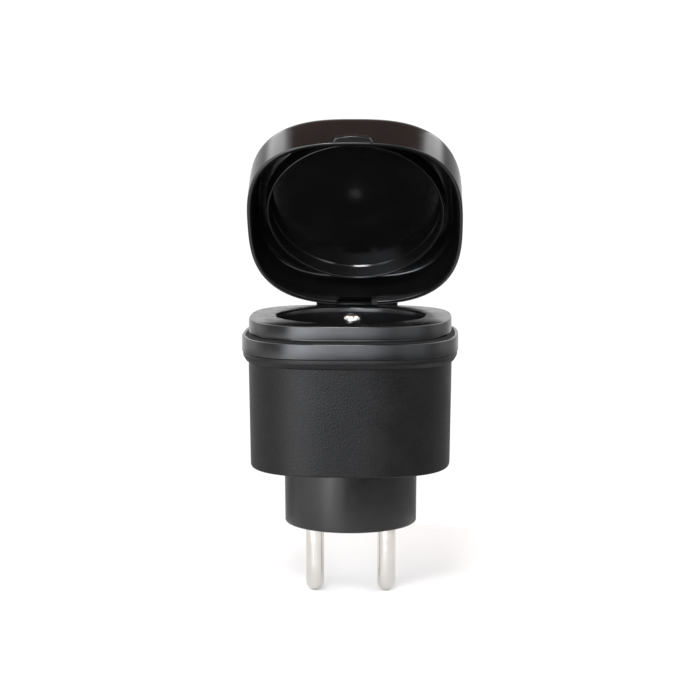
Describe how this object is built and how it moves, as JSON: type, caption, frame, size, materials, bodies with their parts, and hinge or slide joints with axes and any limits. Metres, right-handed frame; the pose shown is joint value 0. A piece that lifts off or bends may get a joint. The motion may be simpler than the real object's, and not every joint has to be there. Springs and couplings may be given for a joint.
{
  "type": "smart plug",
  "caption": "Outdoor smart plug with two round pins below a squarish housing and, above it, a socket well with an earth pin under a hinged lid.",
  "frame": {"origin": "centre of the plug's contact face, midway between the two mains pins", "axes": "+Z from the plug's pins towards the lid, -Y to the front, +Y to the hinge side, +X to the right seen from the front"},
  "size_m": [0.0577, 0.0658, 0.1248],
  "materials": {
    "housing_black": "fine spark-eroded texture, matte black",
    "satin_black": "smooth satin black",
    "lid_black": "smooth black, glossy inside",
    "seal_rubber": "matte black rubber",
    "nickel": "bright nickel plate on brass",
    "steel": "zinc-plated steel",
    "brass": "stamped brass",
    "board_green": "green solder mask",
    "insulator_black": "moulded black thermoset",
    "relay_blue": "blue relay case",
    "ceramic": "glazed cream ceramic",
    "varistor_blue": "blue epoxy dip",
    "capacitor_sleeve": "shrink sleeve",
    "ferrite": "dull ferrite",
    "shield_tin": "tinned steel can",
    "shutter_grey": "dark grey moulded plastic",
    "lamp_white": "white lamp body",
    "window_clear": "clear light guide with a frosted end"
  },
  "bodies": {
    "case": {"socket_cover": "satin_black", "well_sleeve": "satin_black", "hinge_pin": "steel", "lid_seal": "seal_rubber", "cover_gasket": "seal_rubber", "housing": "housing_black", "plug_neck": "satin_black", "pin_left": "nickel", "pin_right": "nickel", "earth_pin": "nickel", "earth_tube": "brass", "earth_strap": "brass", "feed_bar_left": "brass", "feed_bar_right": "brass", "socket_insert": "satin_black", "shutter_plate": "insulator_black", "shutter_spring": "steel", "contact_left": "brass", "contact_right": "brass", "main_board": "board_green", "power_relay": "relay_blue", "input_fuse": "ceramic", "filter_capacitor": "capacitor_sleeve", "surge_varistor": "varistor_blue", "supply_inductor": "ferrite", "wifi_module": "board_green", "wifi_shield": "shield_tin", "push_switch": "insulator_black", "status_led": "lamp_white", "light_guide": "window_clear", "case_screw_1": "steel", "case_screw_2": "steel", "case_screw_3": "steel", "case_screw_4": "steel"},
    "lid": {"lid_shell": "lid_black", "lid_ring": "lid_black"},
    "button": {"push_button": "seal_rubber"},
    "shutter": {"safety_shutter": "shutter_grey"}
  },
  "joints": [
    {"name": "lid_hinge", "type": "hinge", "parent": "case", "child": "lid", "pos_m": [0, 0.03237, 0.0525], "axis": [-1, 0, 0], "range_deg": [-52.3, 53]},
    {"name": "button_press", "type": "slide", "parent": "case", "child": "button", "axis": [0, -1, 0], "range_m": [0, 0.0008], "stiffness_N_per_m": 600},
    {"name": "shutter_turn", "type": "hinge", "parent": "case", "child": "shutter", "pos_m": [0, 0, 0.0349], "axis": [0, 0, 1], "range_deg": [0, 45], "stiffness_Nm_per_rad": 0.004}
  ]
}
